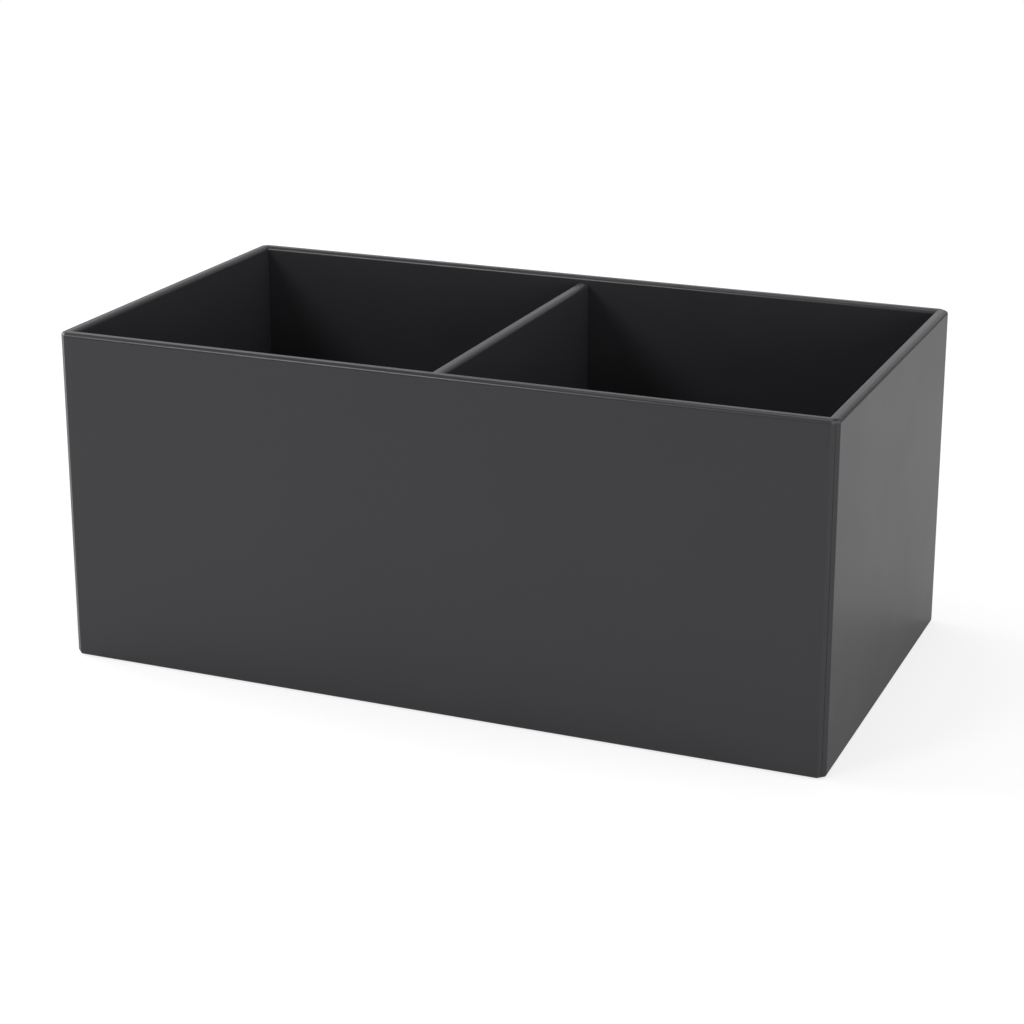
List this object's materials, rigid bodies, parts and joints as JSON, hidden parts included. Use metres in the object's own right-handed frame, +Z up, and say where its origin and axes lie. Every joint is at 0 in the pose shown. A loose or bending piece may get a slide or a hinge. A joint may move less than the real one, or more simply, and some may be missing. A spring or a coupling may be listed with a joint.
{
  "type": "storage box",
  "caption": "Open-topped oblong storage box in dark lacquered board, with mitred corners and an upright divider that makes two bays.",
  "frame": {"origin": "middle of the footprint, on the floor under the felt pads", "axes": "+X along the length to the right end, +Y from the front to the back, +Z up"},
  "size_m": [0.698, 0.379, 0.301],
  "materials": {
    "lacquered_board": "medium density fibreboard sprayed with satin anthracite lacquer",
    "birch_plywood": "bare birch plywood strip",
    "beech": "bare fluted beech dowel",
    "felt": "dense needled wool felt"
  },
  "bodies": {
    "root": {"front_panel": "lacquered_board", "back_panel": "lacquered_board", "left_end_panel": "lacquered_board", "right_end_panel": "lacquered_board", "base_panel": "lacquered_board", "divider_panel": "lacquered_board", "front_left_spline": "birch_plywood", "front_right_spline": "birch_plywood", "back_left_spline": "birch_plywood", "back_right_spline": "birch_plywood", "divider_front_dowels": "beech", "divider_back_dowels": "beech", "divider_base_dowels": "beech", "front_left_pad": "felt", "front_right_pad": "felt", "back_left_pad": "felt", "back_right_pad": "felt"}
  },
  "joints": []
}
